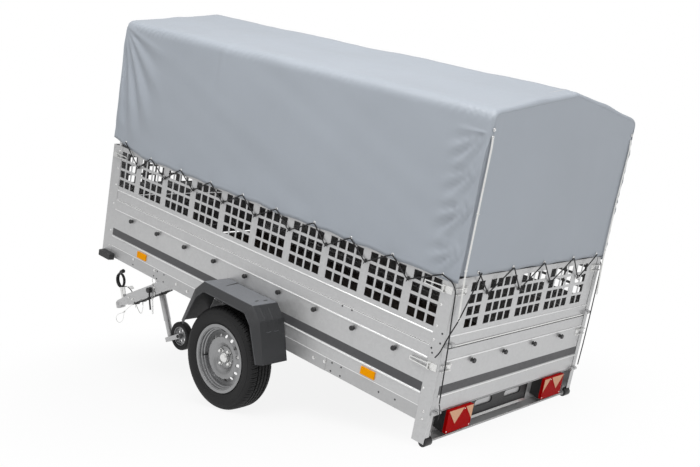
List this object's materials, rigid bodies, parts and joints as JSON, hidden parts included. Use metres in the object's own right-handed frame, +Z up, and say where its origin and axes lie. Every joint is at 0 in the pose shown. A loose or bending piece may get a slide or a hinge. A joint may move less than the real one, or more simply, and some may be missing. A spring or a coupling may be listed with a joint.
{
  "type": "utility trailer",
  "caption": "Tipping utility trailer with mesh side extensions, a high fabric cover, a hinged drawbar on a jockey wheel, dropping rear gates and mudguards.",
  "frame": {"origin": "on the floor, under the middle of the whole trailer's box as it is parked, tipped back", "axes": "+X forward along the drawbar, +Y to the trailer's left, +Z up from the floor"},
  "size_m": [3.788, 1.7, 2.2528],
  "materials": {
    "galvanised_steel": "hot-dip galvanised sheet with a fine spangle",
    "floor_board": "phenolic-faced plywood, fine mesh pattern",
    "zinc_hardware": "bright zinc plated",
    "rim_silver": "silver wheel paint",
    "black_plastic": "moulded black plastic",
    "guard_plastic": "grained dark grey plastic",
    "rubber": "black rubber",
    "tyre": "road tyre",
    "lamp_red": "moulded red lens",
    "amber": "moulded amber reflector",
    "cover_fabric": "coated tarpaulin fabric, blue-grey"
  },
  "bodies": {
    "bed": {"axle": "galvanised_steel", "axle_brackets": "galvanised_steel", "corner_blocks": "black_plastic", "corner_posts": "galvanised_steel", "cover": "cover_fabric", "cover_bows": "galvanised_steel", "cover_front": "cover_fabric", "cover_legs": "galvanised_steel", "cover_rear": "cover_fabric", "cross_members": "galvanised_steel", "drawbar_pivot": "galvanised_steel", "floor": "floor_board", "front_beam": "galvanised_steel", "front_latches": "zinc_hardware", "front_wall": "galvanised_steel", "gate_hinges": "zinc_hardware", "lamp_housings": "black_plastic", "lamp_lenses": "lamp_red", "mesh_front": "galvanised_steel", "mesh_sides": "galvanised_steel", "mudguards": "guard_plastic", "plate_holder": "black_plastic", "rail_sleeves": "galvanised_steel", "rear_beam": "galvanised_steel", "rear_latches": "zinc_hardware", "rear_rollers": "rubber", "side_knobs": "black_plastic", "side_rails": "galvanised_steel", "side_reflectors": "amber", "side_walls": "galvanised_steel"},
    "tailgate": {"tailgate": "galvanised_steel", "tailgate_knobs": "black_plastic", "tailgate_catches": "zinc_hardware"},
    "mesh_gate": {"mesh_gate": "galvanised_steel", "mesh_gate_catches": "zinc_hardware"},
    "wheel_left": {"tyre_left": "tyre", "rim_left": "rim_silver", "hub_left": "galvanised_steel"},
    "wheel_right": {"tyre_right": "tyre", "rim_right": "rim_silver", "hub_right": "galvanised_steel"},
    "drawbar": {"drawbar": "galvanised_steel", "coupling_head": "zinc_hardware", "coupling_lever": "zinc_hardware", "jockey_clamp": "galvanised_steel", "jockey_tube": "zinc_hardware", "jockey_crank": "zinc_hardware"},
    "jockey_leg": {"jockey_leg": "zinc_hardware"},
    "jockey_fork": {"jockey_fork": "galvanised_steel"},
    "jockey_wheel": {"jockey_rim": "rim_silver", "jockey_tyre": "tyre"}
  },
  "joints": [
    {"name": "wheel_left_spin", "type": "hinge", "parent": "bed", "child": "wheel_left", "pos_m": [-0.26582, 0.755, 0.274], "axis": [0, 1, 0], "continuous": true},
    {"name": "wheel_right_spin", "type": "hinge", "parent": "bed", "child": "wheel_right", "pos_m": [-0.26582, -0.755, 0.274], "axis": [0, 1, 0], "continuous": true},
    {"name": "tailgate_hinge", "type": "hinge", "parent": "bed", "child": "tailgate", "pos_m": [-1.52551, 0, 0.15852], "axis": [0, -1, 0], "range_deg": [0, 100]},
    {"name": "mesh_gate_hinge", "type": "hinge", "parent": "bed", "child": "mesh_gate", "pos_m": [-1.6047, 0, 0.47476], "axis": [0, -1, 0], "range_deg": [0, 90]},
    {"name": "drawbar_hinge", "type": "hinge", "parent": "bed", "child": "drawbar", "pos_m": [0.74492, 0, 0.61784], "axis": [0, -1, 0], "range_deg": [-12, 31]},
    {"name": "jockey_leg_slide", "type": "slide", "parent": "drawbar", "child": "jockey_leg", "axis": [-0.2914, 0, -0.9566], "range_m": [-0.11, 0.12]},
    {"name": "jockey_swivel", "type": "hinge", "parent": "jockey_leg", "child": "jockey_fork", "pos_m": [1.33146, -0.06, 0.06557], "axis": [0.2914, 0, 0.9566], "continuous": true},
    {"name": "jockey_wheel_spin", "type": "hinge", "parent": "jockey_fork", "child": "jockey_wheel", "pos_m": [1.20814, -0.06, 0.1], "axis": [0, 1, 0], "continuous": true}
  ]
}
